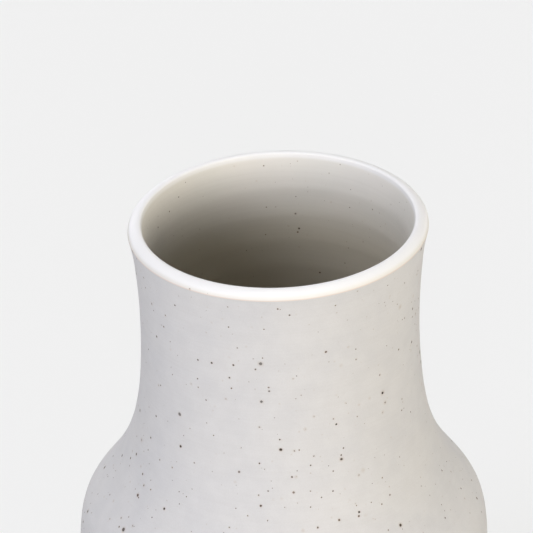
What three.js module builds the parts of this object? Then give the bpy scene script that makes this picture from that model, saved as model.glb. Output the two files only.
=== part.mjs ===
// A stoneware vase: a wide waisted neck, a soft shoulder and a rounded belly on a turned foot ring.
// Millimetres, +Z up. The origin is the centre of the vase, on the surface that its pads rest on.

import * as THREE from 'three';

// Outside form. A drop is a distance down from the top of the lip. The neck narrows from the lip
// to the waist, and the shoulder is given by how far it still is from the belly.
const overallHeight = 248;
const lipRadius = 54.9;
const lipFlare = 18;
const neckNarrowing = 3.2;
const waistDrop = 39;
const shoulderSetback = 6;
const shoulderDrop = 117;
const shoulderLean = 37.5;
const bellyRadius = 78.3;
const bellyDrop = 150;

// Clay thicknesses.
const wallThickness = 5;
const baseThickness = 7;

// The lip: a wide round on the outside and a small round on the inside.
const lipRoundHeight = 3.1;
const lipInnerRound = 0.9;

// The foot ring, the recess turned inside it and the round of its edges.
const footRadius = 50;
const footRingWidth = 11;
const footRingHeight = 4;
const footRecessDepth = 3;
const footEdgeRound = 1;
const footSpread = 68;

// How full each curve of the outline is at its upper and its lower end: the share of the way that
// it keeps to the end's own lean, towards the corner where the leans of both ends meet.
const fullness = {
  mouth: [0.6, 0.35],
  neck: [0.9, 0.7],
  shoulder: [0.75, 0.95],
  belly: [0.75, 0.6],
  cavity: [0.7, 0.6],
};

// The glaze that lines the inside and folds over the lip.
const glazeThickness = 0.5;
const glazeClearance = 0.1;

// The pads stuck under the foot ring.
const padCount = 3;
const padDiameter = 8;
const padThickness = 1.6;
const padEdgeRound = 0.4;

// How finely the round forms are divided.
const bodyTurns = 48;
const padTurns = 20;
const mouthSteps = 4;
const neckSteps = 6;
const shoulderSteps = 6;
const bellySteps = 8;
const roundSteps = 3;

// The looks of the three materials.
const clay = { color: 0xdedbd5, roughness: 0.85, metalness: 0 };
const glaze = { color: 0xe9e6df, roughness: 0.45, metalness: 0 };
const silicone = { color: 0xd4d5d3, roughness: 0.5, metalness: 0 };

const degrees = Math.PI / 180;
const ringBottom = padThickness;
const ringTop = ringBottom + footRingHeight;
const recessHeight = ringBottom + footRecessDepth;
const floorHeight = recessHeight + baseThickness;

// A station is a place on the outside: its radius, its height, and how far it leans from the
// vertical. The lean is positive where the form widens on the way down.
const station = (radius, drop, lean) => ({
  radius,
  height: overallHeight - drop,
  lean: lean * degrees,
});
const lipStation = station(lipRadius, lipRoundHeight, -lipFlare);
const waistStation = station(lipRadius - neckNarrowing, waistDrop, 0);
const shoulderStation = station(bellyRadius - shoulderSetback, shoulderDrop, shoulderLean);
const bellyStation = station(bellyRadius, bellyDrop, 0);
const footStation = { radius: footRadius, height: ringTop, lean: -footSpread * degrees };

// The same place, moved into the clay at right angles to the outside.
const inset = (place, depth) => ({
  radius: place.radius - depth * Math.cos(place.lean),
  height: place.height - depth * Math.sin(place.lean),
  lean: place.lean,
});

// The place where the leans of two places meet.
const cornerOf = (upper, lower) => {
  const upperSlope = Math.tan(upper.lean);
  const lowerSlope = Math.tan(lower.lean);
  const reach = upper.radius + upperSlope * (upper.height - lower.height) - lower.radius;
  const rise = reach / (upperSlope - lowerSlope);
  return new THREE.Vector2(lower.radius - lowerSlope * rise, lower.height + rise);
};

// A smooth curve down from one place to another, along the lean of both.
const sweepDown = (upper, lower, [upperShare, lowerShare], steps) => {
  const start = new THREE.Vector2(upper.radius, upper.height);
  const end = new THREE.Vector2(lower.radius, lower.height);
  const corner = cornerOf(upper, lower);
  const curve = new THREE.CubicBezierCurve(
    start,
    start.clone().lerp(corner, upperShare),
    end.clone().lerp(corner, lowerShare),
    end,
  );
  return curve.getPoints(steps);
};

// Part of an ellipse, from one angle to another, in degrees.
const round = (x, y, width, height, from, to) => new THREE.EllipseCurve(
  x,
  y,
  width,
  height,
  from * degrees,
  to * degrees,
  to < from,
).getPoints(roundSteps);

// Runs of points joined end to end, with each shared end kept once.
const joined = (...runs) => runs.flat().filter((point, index, points) => (
  index === 0 || point.distanceTo(points[index - 1]) > 1e-6
));

// The neck, shoulder and upper belly, from the lip down, at a depth inside the outside.
const upperSide = (top, depth) => {
  const waist = inset(waistStation, depth);
  const shoulder = inset(shoulderStation, depth);
  const belly = inset(bellyStation, depth);
  return joined(
    sweepDown(top, waist, fullness.mouth, mouthSteps),
    sweepDown(waist, shoulder, fullness.neck, neckSteps),
    sweepDown(shoulder, belly, fullness.shoulder, shoulderSteps),
  );
};

// The outside below the lip, down to the top of the foot ring.
const outerSide = () => joined(
  upperSide(lipStation, 0),
  sweepDown(bellyStation, footStation, fullness.belly, bellySteps),
);

// The inside of the vase, from the mouth to the middle of the floor, at a depth inside the
// finished surface: 0 is the air side of the glaze.
const innerSide = (depth) => {
  const clay = wallThickness - depth;
  const mouth = {
    radius: lipRadius - clay,
    height: overallHeight - lipInnerRound,
    lean: lipStation.lean,
  };
  const floorEdge = {
    radius: footRadius - footRingWidth,
    height: floorHeight - depth,
    lean: -90 * degrees,
  };
  return joined(
    upperSide(mouth, clay),
    sweepDown(inset(bellyStation, clay), floorEdge, fullness.cavity, bellySteps),
    [new THREE.Vector2(0, floorEdge.height)],
  );
};

// The top of the lip, from its outer edge over to the mouth, at a depth inside the finished
// surface.
const lipTop = (depth) => {
  const crest = lipRadius - wallThickness + lipInnerRound;
  return joined(
    round(
      crest,
      overallHeight - lipRoundHeight,
      lipRadius - crest - depth,
      lipRoundHeight - depth,
      0,
      90,
    ),
    round(
      crest,
      overallHeight - lipInnerRound,
      lipInnerRound - depth,
      lipInnerRound - depth,
      90,
      180,
    ),
  );
};

// The foot ring and the underside, from the top of the ring to the middle of the recess.
const underside = () => {
  const inside = footRadius - footRingWidth;
  const roundHeight = ringBottom + footEdgeRound;
  return joined(
    round(footRadius - footEdgeRound, roundHeight, footEdgeRound, footEdgeRound, 0, -90),
    round(inside + footEdgeRound, roundHeight, footEdgeRound, footEdgeRound, -90, -180),
    [new THREE.Vector2(inside, recessHeight), new THREE.Vector2(0, recessHeight)],
  );
};

// A closed solid of revolution about +Z, from a profile that runs down the outside.
const turned = (profile, turns) => {
  const geometry = new THREE.LatheGeometry(profile.slice().reverse(), turns);
  geometry.rotateX(90 * degrees);
  return geometry;
};

const piece = (name, geometry, look) => {
  const mesh = new THREE.Mesh(geometry, new THREE.MeshStandardMaterial(look));
  mesh.name = name;
  return mesh;
};

// The clay keeps a clearance from the glaze, inside and at the small ledge that the glaze ends on.
const makeBody = () => {
  const clayDepth = glazeThickness + glazeClearance;
  const ledgeHeight = lipStation.height - glazeClearance;
  const ledge = [
    new THREE.Vector2(lipRadius - clayDepth, ledgeHeight),
    new THREE.Vector2(lipRadius, ledgeHeight),
  ];
  const profile = joined(
    innerSide(clayDepth).reverse(),
    lipTop(clayDepth).reverse(),
    ledge,
    outerSide().slice(1),
    underside(),
  );
  return piece('stoneware_body', turned(profile, bodyTurns), clay);
};

// The glaze's air side from the floor up and over the lip, and its clay side back down.
const makeLiner = () => {
  const profile = joined(
    innerSide(0).reverse(),
    lipTop(0).reverse(),
    lipTop(glazeThickness),
    innerSide(glazeThickness),
  );
  return piece('liner_glaze', turned(profile, bodyTurns), glaze);
};

// The pads stand on the middle of the foot ring, evenly round it.
const makePad = (number) => {
  const radius = padDiameter / 2;
  const profile = joined(
    [new THREE.Vector2(0, padThickness), new THREE.Vector2(radius, padThickness)],
    round(radius - padEdgeRound, padEdgeRound, padEdgeRound, padEdgeRound, 0, -90),
    [new THREE.Vector2(0, 0)],
  );
  const pad = piece(`foot_pad_${number + 1}`, turned(profile, padTurns), silicone);
  const angle = (2 * Math.PI * number) / padCount;
  const reach = footRadius - footRingWidth / 2;
  pad.position.set(Math.cos(angle) * reach, Math.sin(angle) * reach, 0);
  return pad;
};

const vase = new THREE.Group();
vase.add(makeBody());
vase.add(makeLiner());
for (let number = 0; number < padCount; number += 1) {
  vase.add(makePad(number));
}

export default vase;
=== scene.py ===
"""A stoneware vase: smooth, hand-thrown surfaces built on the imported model's own outlines.

Everything is in metres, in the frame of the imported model: +Z up, the origin under the middle of
the vase. Each piece follows the outline of the node that it replaces, so it keeps its size.
"""

import math

import bmesh
import bpy
import numpy as np
from mathutils import Matrix, Vector


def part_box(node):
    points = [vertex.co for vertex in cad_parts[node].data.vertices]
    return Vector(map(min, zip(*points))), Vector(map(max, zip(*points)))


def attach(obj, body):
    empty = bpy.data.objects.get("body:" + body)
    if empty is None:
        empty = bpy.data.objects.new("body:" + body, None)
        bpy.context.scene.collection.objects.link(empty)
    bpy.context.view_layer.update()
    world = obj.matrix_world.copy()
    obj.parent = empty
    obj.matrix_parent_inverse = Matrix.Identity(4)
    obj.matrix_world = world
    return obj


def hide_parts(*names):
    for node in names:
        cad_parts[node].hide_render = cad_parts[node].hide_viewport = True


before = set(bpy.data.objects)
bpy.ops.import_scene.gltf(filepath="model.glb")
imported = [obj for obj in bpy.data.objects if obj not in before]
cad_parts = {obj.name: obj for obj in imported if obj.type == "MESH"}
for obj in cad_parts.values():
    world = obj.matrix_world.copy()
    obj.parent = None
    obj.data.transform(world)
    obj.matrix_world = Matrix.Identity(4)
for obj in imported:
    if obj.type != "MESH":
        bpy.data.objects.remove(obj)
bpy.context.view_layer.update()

MM = 0.001
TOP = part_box("liner_glaze")[1].z

# How finely the pieces are divided.
BODY_TURNS = 224
PAD_TURNS = 64
WALL_STEP = 1.4 * MM
LIP_STEP = 0.25 * MM
LIP_REACH = 4 * MM
FLOOR_BEND = 6 * MM
FOOT_STEP = 2 * MM
HIDDEN_STEP = 6 * MM
CORNER_STEPS = 5
SHARP_ANGLE = math.radians(40)

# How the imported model's outlines are read: how near a point must be to the cutting plane and to
# the axis, and the share of the height above which the clay's widest point is the edge of its lip.
ON_PLANE = 1e-7
ON_AXIS = 1e-6
LIP_SHARE = 0.9

# The rounds of the turned foot, in the order that its outline takes them, and of a pad.
FOOT_ROUNDS = (1.3 * MM, 1.2 * MM, 1.2 * MM, 1.4 * MM)
PAD_ROUNDS = (0.15 * MM, 0.6 * MM)

# What the potter's hand leaves: a rim that isn't quite level, a form that isn't quite round, and
# the ridges of throwing, which climb like a screw.
RIM_DIP = 2.4 * MM
RIM_RISE_ANGLE = math.radians(32)
RIM_DIP_REACH = 90 * MM
MOUTH_SHIFT = 0.2 * MM
OVAL_SHARE = 0.003
RIDGE_PITCH = 11 * MM
RIDGE_HEIGHT = 0.15 * MM
WAVE_PITCH = 47 * MM
WAVE_HEIGHT = 0.08 * MM
RING_PITCH = 2.3 * MM
RING_HEIGHT = 0.012 * MM
# Where each of these begins and is whole: by height, or by depth below the top for the lip.
OVAL_HEIGHTS = (10 * MM, 60 * MM)
INNER_LIP_DEPTHS = (4 * MM, 12 * MM)
INNER_BASE_HEIGHTS = (20 * MM, 40 * MM)
OUTER_LIP_DEPTHS = (3.5 * MM, 12 * MM)
OUTER_FOOT_HEIGHTS = (8 * MM, 20 * MM)

# Colours, as linear shares of red, green and blue.
CLAY_COOL = (0.62, 0.61, 0.60, 1)
CLAY_WARM = (0.65, 0.635, 0.615, 1)
CLAY_PALE = (0.68, 0.67, 0.655, 1)
CLAY_SHADE = (0.55, 0.50, 0.44, 1)
CLAY_TOASTED = (0.52, 0.37, 0.25, 1)
GLAZE_COOL = (0.80, 0.78, 0.72, 1)
GLAZE_WARM = (0.82, 0.79, 0.73, 1)
# Painted shade: the olive brown that the glaze darkens to deeper in the mouth.
GLAZE_PAINTED_SHADE = (0.47, 0.43, 0.34, 1)
# Painted shade: the warm tan of the thin line round the lip's outer edge.
GLAZE_EDGE_SHADE = (0.66, 0.50, 0.40, 1)
# Painted highlight: the whiter colour of the lip's top, which faces the light above.
LIP_HIGHLIGHT = (0.90, 0.89, 0.87, 1)
IRON_BLACK = (0.012, 0.009, 0.008, 1)
IRON_BROWN = (0.10, 0.055, 0.03, 1)
IRON_STAIN = (0.75, 0.62, 0.48, 1)
SILICONE = (0.78, 0.80, 0.79, 1)
SILICONE_DIM = (0.66, 0.68, 0.67, 1)
DUST = (0.42, 0.38, 0.33, 1)

# The specks: the size of the cell that holds one grain, and the radius of the largest grain.
SPECK_LAYERS = ((7.4 * MM, 0.8 * MM), (4 * MM, 0.52 * MM), (3 * MM, 0.3 * MM))
SPECK_SIZES = (0.3, 1.0)
SPECK_RARITY = 1.5
SPECK_FAINTEST = 0.75
SPECK_HALO = 0.35
SPECK_HALO_REACH = 2.2
SPECK_FULLY_DARK = 0.6
# How big the wobble of a speck's outline is, and how far it moves it.
SPECK_WOBBLE = 0.5 * MM
CLAY_SPECK_MOVE = 0.35 * MM
GLAZE_SPECK_MOVE = 0.3 * MM
CLAY_SPECK_BLUR = 0.15
GLAZE_SPECK_BLUR = 0.35
SPECK_PIT = 0.02 * MM

# The clay's surface: the size of each kind of mark, and how deep or strong it is.
CLAY_CLOUD = 24 * MM
CLAY_PATCH = 6 * MM
CLAY_GRAIN = 0.45 * MM
CLAY_STREAK = (0.9 * MM, 45 * MM)
CLAY_CROWD = 38 * MM
CLAY_PALE_SHARE = 0.35
CLAY_STREAK_SHARE = 0.04
CLAY_GRAIN_SHARE = 0.07
CLAY_GRAIN_DEPTH = 0.012 * MM
CLAY_STREAK_DEPTH = 0.005 * MM
CLAY_ROUGHNESS = (0.68, 0.8)
TOAST_HEIGHTS = (5.2 * MM, 8.5 * MM)

# The glaze's surface, and the depths below the top between which it changes; deeper in the mouth its colour
# is darkened with painted shade.
GLAZE_CLOUD = 20 * MM
GLAZE_PATCH = 3 * MM
GLAZE_STREAK = (1.2 * MM, 60 * MM)
GLAZE_CROWD = 45 * MM
GLAZE_STREAK_SHARE = 0.05
GLAZE_PATCH_DEPTH = 0.05 * MM
GLAZE_STREAK_DEPTH = 0.006 * MM
GLAZE_ROUGHNESS = (0.42, 0.52)
GLAZE_SHADE_DEPTHS = (36 * MM, 2 * MM)
# Above this band the lip's top has no specks or streaks and is painted whiter, a painted highlight.
LIP_BAND = (2.4 * MM, 1 * MM)
# The painted shade at the lip's outer edge, a thin warm tan line where the round turns from the light: its
# height, how far in it reaches, and its strength.
EDGE_SHADE_HEIGHT = 0.7 * MM
EDGE_SHADE_REACH = (1.5 * MM, 0.7 * MM)
EDGE_SHADE_SHARE = 0.6

# The pads: the size of the dust and of the haze, and how far light goes into them.
PAD_DUST = 0.8 * MM
PAD_HAZE = 3 * MM
PAD_DUST_SHARE = 0.5
PAD_DUST_DEPTH = 0.02 * MM
PAD_ROUGHNESS = (0.34, 0.6)
PAD_GLOW = 0.3
PAD_GLOW_REACH = 2 * MM

# The camera looks at the neck from in front and above, tipped a little to one side.
CAMERA_DISTANCE = 1.2
CAMERA_ELEVATION = math.radians(29.35)
CAMERA_ROLL = math.radians(-1.13)
CAMERA_LENS = 220.9
CAMERA_AIM = Vector((-4.7 * MM, 0, TOP - 21.5 * MM))

# The studio: soft lamps all round, cool daylight from the left and warmer light from the right.
# The floor hides part of a lamp at or below 0 degrees, so such a lamp lights the outside and
# reaches only a little way down into the mouth.
NEUTRAL_LIGHT = (0.97, 0.97, 1)
COOL_LIGHT = (0.86, 0.88, 1)
WARM_LIGHT = (1, 0.91, 0.73)
LAMP_WIDTH = math.radians(30)
# Name, azimuth (0 is in front, 90 to the right) and elevation in degrees, strength, colour.
LIGHTS = (
    ("overhead", 0, 90, 0.9, NEUTRAL_LIGHT),
    ("front", 0, 10, 1.05, NEUTRAL_LIGHT),
    ("left_window", -50, 30, 1.25, COOL_LIGHT),
    ("right_front", 40, 0, 1.7, WARM_LIGHT),
    ("right", 80, -5, 1.5, WARM_LIGHT),
    ("right_back", 135, 0, 0.5, NEUTRAL_LIGHT),
    ("left_back", -160, 10, 0.6, NEUTRAL_LIGHT),
    ("back", 180, 50, 0.5, NEUTRAL_LIGHT),
)
AMBIENT = 0.25

# The backdrop, and the floor: as the camera sees it, a blend of its own glow and its shaded paint
# that comes out like the backdrop.
BACKGROUND = (0.871, 0.871, 0.871)
FLOOR_RADIUS = 60
FLOOR_SIDES = 96
FLOOR_SHADE = 0.4
FLOOR_COLOUR = (0.72, 0.72, 0.72)
FLOOR_GLOW = (1.03, 1.03, 1.015)


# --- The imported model's outlines ---------------------------------------------------------------


def meridian(node):
    """The outline of a turned node, as (radius, height), from its upper end on the axis on."""
    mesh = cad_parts[node].data
    links = {}
    for edge in mesh.edges:
        ends = [mesh.vertices[i].co for i in edge.vertices]
        if any(abs(end.y) > ON_PLANE or end.x < -ON_PLANE for end in ends):
            continue
        start, stop = ((round(end.x, 7), round(end.z, 7)) for end in ends)
        if start != stop:
            links.setdefault(start, set()).add(stop)
            links.setdefault(stop, set()).add(start)
    path = [max((point for point in links if abs(point[0]) < ON_AXIS), key=lambda point: point[1])]
    while True:
        onward = [point for point in links[path[-1]] if point not in path]
        if not onward:
            return path
        path.append(onward[0])


def corner_after(outline, start):
    """The index of the first sharp corner of an outline after a place on it."""
    for i in range(start + 1, len(outline) - 1):
        before = Vector(outline[i]) - Vector(outline[i - 1])
        after = Vector(outline[i + 1]) - Vector(outline[i])
        if before.angle(after) > SHARP_ANGLE:
            return i
    return len(outline) - 1


def smooth_through(points, steps):
    """Points along a smooth curve through the given ones, at most a step apart in each stretch."""
    points = np.array(points)
    lengths = np.linalg.norm(np.diff(points, axis=0), axis=1)
    slopes = np.diff(points, axis=0) / lengths[:, None]
    share = (lengths[:-1] / (lengths[:-1] + lengths[1:]))[:, None]
    inner = slopes[:-1] * (1 - share) + slopes[1:] * share
    tangents = np.vstack([2 * slopes[0] - inner[0], inner, 2 * slopes[-1] - inner[-1]])
    rows = [points[:1]]
    for i, (length, step) in enumerate(zip(lengths, np.broadcast_to(steps, len(lengths)))):
        count = math.ceil(length / step)
        t = np.arange(1, count + 1)[:, None] / count
        rows.append(
            (2 * t**3 - 3 * t**2 + 1) * points[i]
            + (t**3 - 2 * t**2 + t) * length * tangents[i]
            + (3 * t**2 - 2 * t**3) * points[i + 1]
            + (t**3 - t**2) * length * tangents[i + 1]
        )
    return np.vstack(rows)


def rounded(points, radii):
    """A line of points with each inner corner turned into a short curve of about that radius."""
    points = [np.array(point) for point in points]
    rows = [points[0]]
    for before, corner, after, radius in zip(points, points[1:], points[2:], radii):
        start = corner + (before - corner) * radius / np.linalg.norm(before - corner)
        stop = corner + (after - corner) * radius / np.linalg.norm(after - corner)
        for t in np.linspace(0, 1, CORNER_STEPS):
            rows.append((1 - t) ** 2 * start + 2 * t * (1 - t) * corner + t**2 * stop)
    rows.append(points[-1])
    return np.array(rows)


def divided(points, step):
    """The same line, with its long stretches cut into steps."""
    points = np.array(points)
    rows = [points[:1]]
    for start, stop in zip(points, points[1:]):
        steps = max(1, math.ceil(np.linalg.norm(stop - start) / step))
        rows.append(start + (stop - start) * np.arange(1, steps + 1)[:, None] / steps)
    return np.vstack(rows)


# --- The hand-thrown form ----------------------------------------------------------------------


def eased(value, low, high):
    """0 below low, 1 above high, and smooth between."""
    t = np.clip((value - low) / (high - low), 0, 1)
    return t * t * (3 - 2 * t)


def wave(value):
    """A smooth wave between 0 and 1, once in each whole number."""
    return 0.5 + 0.5 * np.cos(2 * math.pi * value)


def handmade(x, y, z):
    """The small faults of the form, the same for every piece, so that the pieces stay fitted."""
    angle = np.arctan2(y, x)
    oval = 1 - OVAL_SHARE * np.sin(angle) ** 2 * eased(z, *OVAL_HEIGHTS)
    mouth = eased(z, TOP - RIM_DIP_REACH, TOP)
    uphill = x * math.cos(RIM_RISE_ANGLE) + y * math.sin(RIM_RISE_ANGLE)
    dip = RIM_DIP / 2 * (1 - uphill / lip_radius) * mouth
    return x * oval - MOUTH_SHIFT * mouth, y * oval, z - dip


def inner_relief(height, angle):
    """Throwing ridges inside. They stand towards the axis, and fade out at the lip and the base."""
    depth = TOP - height
    turn = angle / (2 * math.pi)
    ridge = RIDGE_HEIGHT * wave(depth / RIDGE_PITCH - turn) ** 3
    ring = RING_HEIGHT * wave(depth / RING_PITCH - turn)
    return -(ridge + ring) * eased(depth, *INNER_LIP_DEPTHS) * eased(height, *INNER_BASE_HEIGHTS)


def outer_relief(height, angle):
    """Faint turning rings outside. They only cut in, and fade out at the lip and the foot."""
    depth = TOP - height
    turn = angle / (2 * math.pi)
    ring = RING_HEIGHT * wave(depth / RING_PITCH + turn)
    swell = WAVE_HEIGHT * wave(depth / WAVE_PITCH + turn)
    return -(ring + swell) * eased(depth, *OUTER_LIP_DEPTHS) * eased(height, *OUTER_FOOT_HEIGHTS)


def no_relief(height, angle):
    """A plain surface, with a zero for each point."""
    return 0 * height * angle


def turned(name, parts, turns=BODY_TURNS, middle=(0, 0)):
    """A closed mesh of revolution, from parts of a profile that starts and ends on the axis.

    Each part is its points and its relief.
    """
    profile = np.vstack([points for points, _ in parts])
    angle = np.arange(turns)[None, :] * 2 * math.pi / turns
    relief = np.vstack([make(points[:, 1:], angle) for points, make in parts])
    radius = profile[:, :1] + relief
    radius[0] = radius[-1] = 0
    height = profile[:, 1:] + 0 * angle
    x, y, z = handmade(middle[0] + radius * np.cos(angle), middle[1] + radius * np.sin(angle), height)
    rings = np.stack([x, y, z], axis=-1)
    points = np.vstack([rings[0, :1], rings[1:-1].reshape(-1, 3), rings[-1, :1]])
    rise = np.concatenate([height[0, :1], height[1:-1].ravel(), height[-1, :1]])
    last = len(points) - 1
    faces = []
    for i in range(turns):
        j = (i + 1) % turns
        faces.append((0, 1 + j, 1 + i))
        faces.append((last, last - turns + i, last - turns + j))
        for row in range(len(profile) - 3):
            low = 1 + row * turns
            faces.append((low + i, low + j, low + turns + j, low + turns + i))
    return finished(name, points, faces, rise)


def finished(name, points, faces, rise):
    """An object of that mesh, smooth but for its sharp edges, that knows each point's height."""
    mesh = bpy.data.meshes.new(name)
    mesh.from_pydata(points.tolist(), [], faces)
    shape = bmesh.new()
    shape.from_mesh(mesh)
    bmesh.ops.recalc_face_normals(shape, faces=shape.faces)
    shape.to_mesh(mesh)
    shape.free()
    mesh.shade_smooth()
    mesh.set_sharp_from_angle(angle=SHARP_ANGLE)
    attribute = mesh.attributes.new("rise", "FLOAT", "POINT")
    attribute.data.foreach_set("value", rise.astype(np.float32))
    piece = bpy.data.objects.new(name, mesh)
    bpy.context.scene.collection.objects.link(piece)
    return piece


glaze_outline = meridian("liner_glaze")
clay_outline = meridian("stoneware_body")
glaze_edge = corner_after(glaze_outline, 0)
lip_radius, edge_height = glaze_outline[glaze_edge]
clay_edge = clay_outline.index(max((p for p in clay_outline if p[1] > LIP_SHARE * TOP), key=lambda p: p[0]))
ring_top = corner_after(clay_outline, clay_edge)


def make_liner():
    """The glaze: its air side up from the floor and over the lip, and its clay side back."""
    radius, floor_height = glaze_outline[1]
    turn_up = (radius - FLOOR_BEND, floor_height)
    floor = divided([(0, floor_height), turn_up], HIDDEN_STEP)
    air = [turn_up, *glaze_outline[1:glaze_edge + 1]]
    steps = [LIP_STEP if height > TOP - LIP_REACH else WALL_STEP for _, height in air[:-1]]
    wall = smooth_through(air, steps)
    back = np.array(glaze_outline[glaze_edge + 1:])
    parts = [(floor[:-1], no_relief), (wall, inner_relief), (back, no_relief)]
    return turned("glaze_lining", parts)


def make_body():
    """The clay: its hidden side under the glaze, the ledge, the outside and the turned foot."""
    hidden = divided(clay_outline[: clay_edge - 1], HIDDEN_STEP)
    lip = (lip_radius, edge_height)
    outer = smooth_through([lip, *clay_outline[clay_edge + 1:ring_top + 1]], WALL_STEP)
    ring = clay_outline[ring_top][0]
    inside, recess = clay_outline[-2]
    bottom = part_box("stoneware_body")[0].z
    foot = rounded(
        [outer[-2], outer[-1], (ring, bottom), (inside, bottom), (inside, recess), (0, recess)],
        FOOT_ROUNDS,
    )
    parts = [
        (hidden, no_relief),
        (outer[:-2], outer_relief),
        (divided(foot, FOOT_STEP), no_relief),
    ]
    return turned("thrown_body", parts)


def make_pad(node):
    """A small moulded pad with a soft lower edge."""
    low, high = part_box(node)
    radius = (high.x - low.x) / 2
    middle = ((low.x + high.x) / 2, (low.y + high.y) / 2)
    profile = rounded(
        [(0, high.z), (radius, high.z), (radius, 0), (0, 0)],
        PAD_ROUNDS,
    )
    return turned("silicone_" + node, [(profile, no_relief)], PAD_TURNS, middle)


# --- Materials ---------------------------------------------------------------------------------


class Surface:
    """A material, and short ways to add its nodes."""

    def __init__(self, name):
        self.material = bpy.data.materials.new(name)
        self.material.use_nodes = True
        self.tree = self.material.node_tree
        self.shader = self.tree.nodes["Principled BSDF"]
        self.place = self.add("ShaderNodeTexCoord").outputs["Object"]
        self.height = self.attribute("rise")

    def put(self, socket, value):
        """Links a socket to an input, or sets the input to a value."""
        if isinstance(value, bpy.types.NodeSocket):
            self.tree.links.new(value, socket)
        else:
            socket.default_value = value

    def add(self, kind, inputs=(), **settings):
        node = self.tree.nodes.new(kind)
        for name, value in settings.items():
            setattr(node, name, value)
        for name, value in dict(inputs).items():
            self.put(node.inputs[name], value)
        return node

    def first_output(self, node, *values):
        """Feeds the node's shown inputs in turn, and gives its first shown output."""
        for socket, value in zip([socket for socket in node.inputs if socket.enabled], values):
            self.put(socket, value)
        return next(socket for socket in node.outputs if socket.enabled)

    def attribute(self, name):
        return self.add("ShaderNodeAttribute", attribute_name=name).outputs["Fac"]

    def math(self, operation, *values):
        return self.first_output(self.add("ShaderNodeMath", operation=operation), *values)

    def vector(self, operation, *values):
        node = self.add("ShaderNodeVectorMath", operation=operation)
        return self.first_output(node, *values)

    def blend(self, share, first, second, mode="MIX"):
        """The first colour, with a share of the second."""
        node = self.add("ShaderNodeMix", data_type="RGBA", blend_type=mode)
        return self.first_output(node, share, first, second)

    def spread(self, value, low, high, start=0.0, stop=1.0):
        """Start where the value is low, stop where it is high, and smooth between."""
        node = self.add(
            "ShaderNodeMapRange",
            {"Value": value, "From Min": low, "From Max": high, "To Min": start, "To Max": stop},
            interpolation_type="SMOOTHSTEP",
        )
        return node.outputs["Result"]

    def noise(self, size, detail=2.0, place=None, output="Fac"):
        """Noise between 0 and 1 whose features are about that big."""
        inputs = {"Vector": place or self.place, "Scale": 1 / size, "Detail": detail}
        return self.add("ShaderNodeTexNoise", inputs).outputs[output]

    def streaks(self, pitch, reach):
        """Noise drawn out round the vase, as the turning leaves it."""
        parts = self.add("ShaderNodeSeparateXYZ", {"Vector": self.place})
        flat = {
            "X": self.math("MULTIPLY", parts.outputs["X"], pitch / reach),
            "Y": self.math("MULTIPLY", parts.outputs["Y"], pitch / reach),
            "Z": self.height,
        }
        return self.noise(pitch, 3.0, self.add("ShaderNodeCombineXYZ", flat).outputs["Vector"])

    def shaken(self, size, reach):
        """The place, moved about a little, for an uneven outline."""
        noise = self.noise(size, 2.0, output="Color")
        moved = self.vector("SUBTRACT", noise, (0.5, 0.5, 0.5))
        return self.vector("ADD", self.place, self.vector("MULTIPLY", moved, (reach,) * 3))

    def finish(self, colour, roughness, height):
        """Joins colour, roughness and surface height, in metres, to the shader."""
        bump = self.add("ShaderNodeBump", {"Height": height, "Strength": 1.0, "Distance": 1.0})
        self.put(self.shader.inputs["Base Color"], colour)
        self.put(self.shader.inputs["Roughness"], roughness)
        self.put(self.shader.inputs["Normal"], bump.outputs["Normal"])
        return self.material


class Specks:
    """Iron specks: grains scattered through the clay, seen where the surface cuts them."""

    def __init__(self, surface, place, cell, radius, crowd, softness):
        grains = surface.add("ShaderNodeTexVoronoi", {"Vector": place, "Scale": 1 / cell})
        self.random = surface.add("ShaderNodeSeparateColor", {"Color": grains.outputs["Color"]})
        small, large = SPECK_SIZES
        size = surface.math("POWER", self.random.outputs["Red"], SPECK_RARITY)
        size = surface.math("MULTIPLY_ADD", size, large - small, small)
        size = surface.math("MULTIPLY", size, crowd)
        size = surface.math("MULTIPLY", size, radius / cell)
        share = surface.math("DIVIDE", grains.outputs["Distance"], size)
        dark = surface.spread(self.random.outputs["Green"], 0.0, SPECK_FULLY_DARK, SPECK_FAINTEST, 1.0)
        core = surface.spread(share, 1 - softness, 1 + softness, 1.0, 0.0)
        halo = surface.spread(share, 1.0, SPECK_HALO_REACH, SPECK_HALO, 0.0)
        self.mask = surface.math("MULTIPLY", core, dark)
        self.halo = surface.math("MULTIPLY", halo, dark)

    def on(self, surface, colour):
        """The colour, with these specks on it."""
        iron = surface.blend(self.random.outputs["Blue"], IRON_BLACK, IRON_BROWN)
        colour = surface.blend(self.halo, colour, IRON_STAIN, "MULTIPLY")
        return surface.blend(self.mask, colour, iron)


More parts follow.
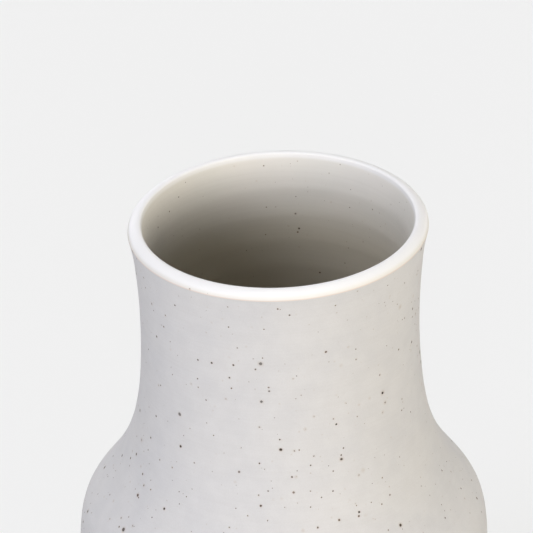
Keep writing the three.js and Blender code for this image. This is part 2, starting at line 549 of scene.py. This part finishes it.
def clay_material():
    """Pale stoneware: a dry, fine-grained clay with iron specks and faint turning streaks."""
    clay = Surface("raw_stoneware")
    cloud = clay.noise(CLAY_CLOUD, 3.0)
    patch = clay.noise(CLAY_PATCH, 3.0)
    grain = clay.noise(CLAY_GRAIN, 3.0)
    streak = clay.streaks(*CLAY_STREAK)
    colour = clay.blend(clay.spread(cloud, 0.3, 0.7), CLAY_COOL, CLAY_WARM)
    pale = clay.spread(patch, 0.35, 0.7, 0.0, CLAY_PALE_SHARE)
    colour = clay.blend(pale, colour, CLAY_PALE)
    shade = clay.spread(streak, 0.35, 0.75, 0.0, CLAY_STREAK_SHARE)
    colour = clay.blend(shade, colour, CLAY_SHADE, "MULTIPLY")
    shade = clay.spread(grain, 0.35, 0.7, 0.0, CLAY_GRAIN_SHARE)
    colour = clay.blend(shade, colour, CLAY_SHADE, "MULTIPLY")
    foot = clay.spread(clay.height, *TOAST_HEIGHTS, 1.0, 0.0)
    toast = clay.math("MULTIPLY", foot, clay.spread(patch, 0.2, 0.8, 0.7, 1.0))
    colour = clay.blend(toast, colour, CLAY_TOASTED)
    crowd = clay.spread(clay.noise(CLAY_CROWD, 1.0), 0.36, 0.6, 0.6, 1.0)
    place = clay.shaken(SPECK_WOBBLE, CLAY_SPECK_MOVE)
    height = clay.math("MULTIPLY", grain, CLAY_GRAIN_DEPTH)
    height = clay.math("MULTIPLY_ADD", streak, CLAY_STREAK_DEPTH, height)
    for cell, radius in SPECK_LAYERS:
        specks = Specks(clay, place, cell, radius, crowd, CLAY_SPECK_BLUR)
        colour = specks.on(clay, colour)
        height = clay.math("MULTIPLY_ADD", specks.mask, -SPECK_PIT, height)
    return clay.finish(colour, clay.spread(patch, 0.2, 0.8, *CLAY_ROUGHNESS), height)


def glaze_material():
    """A warm white satin glaze over the same clay, whose specks show dimly through it, with painted shade
    deep in the mouth and at the lip's outer edge, and a painted highlight on the lip.
    """
    glaze = Surface("satin_glaze")
    cloud = glaze.noise(GLAZE_CLOUD, 3.0)
    patch = glaze.noise(GLAZE_PATCH, 3.0)
    streak = glaze.streaks(*GLAZE_STREAK)
    inside = glaze.spread(glaze.height, TOP - LIP_BAND[0], TOP - LIP_BAND[1], 1.0, 0.0)
    colour = glaze.blend(glaze.spread(cloud, 0.3, 0.7), GLAZE_COOL, GLAZE_WARM)
    # Painted shade: the glaze darkens towards olive brown deeper in the mouth, where less light reaches.
    deep_shade = glaze.spread(glaze.height, TOP - GLAZE_SHADE_DEPTHS[0], TOP - GLAZE_SHADE_DEPTHS[1], 1.0, 0.0)
    colour = glaze.blend(deep_shade, colour, GLAZE_PAINTED_SHADE)
    shade = glaze.spread(streak, 0.35, 0.75, 0.0, GLAZE_STREAK_SHARE)
    shade = glaze.math("MULTIPLY", shade, inside)
    colour = glaze.blend(shade, colour, CLAY_SHADE, "MULTIPLY")
    crowd = glaze.spread(glaze.noise(GLAZE_CROWD, 1.0), 0.36, 0.62, 0.1, 0.7)
    crowd = glaze.math("MULTIPLY", crowd, inside)
    place = glaze.shaken(SPECK_WOBBLE, GLAZE_SPECK_MOVE)
    for cell, radius in SPECK_LAYERS:
        specks = Specks(glaze, place, cell, radius, crowd, GLAZE_SPECK_BLUR)
        colour = specks.on(glaze, colour)
    # Painted highlight: the lip's top is whiter, as it faces the light above.
    colour = glaze.blend(glaze.math("SUBTRACT", 1.0, inside), colour, LIP_HIGHLIGHT)
    # Painted shade: a thin warm tan line round the lip's outer edge, where the round turns away from the
    # light.
    edge = glaze.spread(glaze.height, edge_height, edge_height + EDGE_SHADE_HEIGHT, EDGE_SHADE_SHARE, 0.0)
    radius = glaze.vector("LENGTH", glaze.vector("MULTIPLY", glaze.place, (1, 1, 0)))
    outside = glaze.spread(radius, lip_radius - EDGE_SHADE_REACH[0], lip_radius - EDGE_SHADE_REACH[1])
    colour = glaze.blend(glaze.math("MULTIPLY", edge, outside), colour, GLAZE_EDGE_SHADE)
    height = glaze.math("MULTIPLY", patch, GLAZE_PATCH_DEPTH)
    height = glaze.math("MULTIPLY_ADD", streak, GLAZE_STREAK_DEPTH, height)
    return glaze.finish(colour, glaze.spread(patch, 0.3, 0.7, *GLAZE_ROUGHNESS), height)


def pad_material():
    """Milky silicone with a little dust."""
    pad = Surface("pad_silicone")
    dust = pad.noise(PAD_DUST, 4.0)
    haze = pad.noise(PAD_HAZE, 2.0)
    colour = pad.blend(pad.spread(haze, 0.3, 0.7), SILICONE, SILICONE_DIM)
    colour = pad.blend(pad.spread(dust, 0.58, 0.75, 0.0, PAD_DUST_SHARE), colour, DUST)
    pad.put(pad.shader.inputs["Subsurface Weight"], PAD_GLOW)
    pad.put(pad.shader.inputs["Subsurface Radius"], (PAD_GLOW_REACH,) * 3)
    height = pad.math("MULTIPLY", dust, PAD_DUST_DEPTH)
    return pad.finish(colour, pad.spread(dust, 0.4, 0.75, *PAD_ROUGHNESS), height)


# --- The studio --------------------------------------------------------------------------------


def direction(azimuth, elevation):
    """The unit vector towards a place round the object, with azimuth 0 in front and 90 right."""
    a, e = math.radians(azimuth), math.radians(elevation)
    return Vector((math.sin(a) * math.cos(e), -math.cos(a) * math.cos(e), math.sin(e)))


def make_lights():
    """A soft sun lamp for each row of the table."""
    for name, azimuth, elevation, strength, colour in LIGHTS:
        lamp = bpy.data.lights.new(name, "SUN")
        lamp.energy = strength
        lamp.color = colour
        lamp.angle = LAMP_WIDTH
        light = bpy.data.objects.new(name, lamp)
        light.rotation_euler = direction(azimuth, elevation).to_track_quat("Z", "Y").to_euler()
        bpy.context.scene.collection.objects.link(light)


def make_world():
    """An even pale backdrop for the camera, and a dimmer even light for the object."""
    world = bpy.data.worlds.new("studio")
    world.use_nodes = True
    bpy.context.scene.world = world
    nodes, links = world.node_tree.nodes, world.node_tree.links
    path = nodes.new("ShaderNodeLightPath")
    seen = nodes["Background"]
    seen.inputs["Color"].default_value = (*BACKGROUND, 1)
    ambient = nodes.new("ShaderNodeBackground")
    ambient.inputs["Strength"].default_value = AMBIENT
    mix = nodes.new("ShaderNodeMixShader")
    links.new(path.outputs["Is Camera Ray"], mix.inputs[0])
    links.new(ambient.outputs[0], mix.inputs[1])
    links.new(seen.outputs[0], mix.inputs[2])
    links.new(mix.outputs[0], nodes["World Output"].inputs["Surface"])


def make_floor():
    """A pale floor that goes over into the backdrop, with the object's soft shadow on it."""
    shape = bmesh.new()
    bmesh.ops.create_circle(shape, cap_ends=True, segments=FLOOR_SIDES, radius=FLOOR_RADIUS)
    mesh = bpy.data.meshes.new("floor")
    shape.to_mesh(mesh)
    shape.free()
    floor = bpy.data.objects.new("floor", mesh)
    bpy.context.scene.collection.objects.link(floor)
    material = bpy.data.materials.new("floor")
    material.use_nodes = True
    nodes, links = material.node_tree.nodes, material.node_tree.links
    nodes.remove(nodes["Principled BSDF"])
    paint = nodes.new("ShaderNodeBsdfDiffuse")
    paint.inputs["Color"].default_value = (*FLOOR_COLOUR, 1)
    glow = nodes.new("ShaderNodeEmission")
    glow.inputs["Color"].default_value = (*FLOOR_GLOW, 1)
    path = nodes.new("ShaderNodeLightPath")
    share = nodes.new("ShaderNodeMath")
    share.operation = "MULTIPLY"
    share.inputs[1].default_value = 1 - FLOOR_SHADE
    mix = nodes.new("ShaderNodeMixShader")
    links.new(path.outputs["Is Camera Ray"], share.inputs[0])
    links.new(share.outputs[0], mix.inputs[0])
    links.new(paint.outputs[0], mix.inputs[1])
    links.new(glow.outputs[0], mix.inputs[2])
    links.new(mix.outputs[0], nodes["Material Output"].inputs["Surface"])
    floor.data.materials.append(material)


def make_camera():
    """A long lens in front of the vase, tipped down and rolled a little."""
    e = CAMERA_ELEVATION
    ahead = Vector((0, math.cos(e), -math.sin(e)))
    level = Vector((1, 0, 0))
    up = Vector((0, math.sin(e), math.cos(e)))
    right = level * math.cos(CAMERA_ROLL) + up * math.sin(CAMERA_ROLL)
    up = up * math.cos(CAMERA_ROLL) - level * math.sin(CAMERA_ROLL)
    camera = bpy.data.objects.new("camera", bpy.data.cameras.new("camera"))
    camera.data.lens = CAMERA_LENS
    place = CAMERA_AIM - ahead * CAMERA_DISTANCE
    turn = Matrix((right, up, -ahead)).transposed().to_4x4()
    camera.matrix_world = Matrix.Translation(place) @ turn
    bpy.context.scene.collection.objects.link(camera)
    bpy.context.scene.camera = camera


# --- The vase ----------------------------------------------------------------------------------


def place(piece, node, slot, material):
    """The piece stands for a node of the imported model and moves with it."""
    piece.data.materials.append(material)
    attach(piece, "root")
    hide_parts(node)


bpy.context.scene.view_settings.view_transform = "Standard"
make_camera()
make_world()
make_lights()
make_floor()
place(make_liner(), "liner_glaze", "satin_glaze", glaze_material())
place(make_body(), "stoneware_body", "raw_stoneware", clay_material())
silicone = pad_material()
for node in sorted(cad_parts):
    if node.startswith("foot_pad"):
        place(make_pad(node), node, "pad_silicone", silicone)
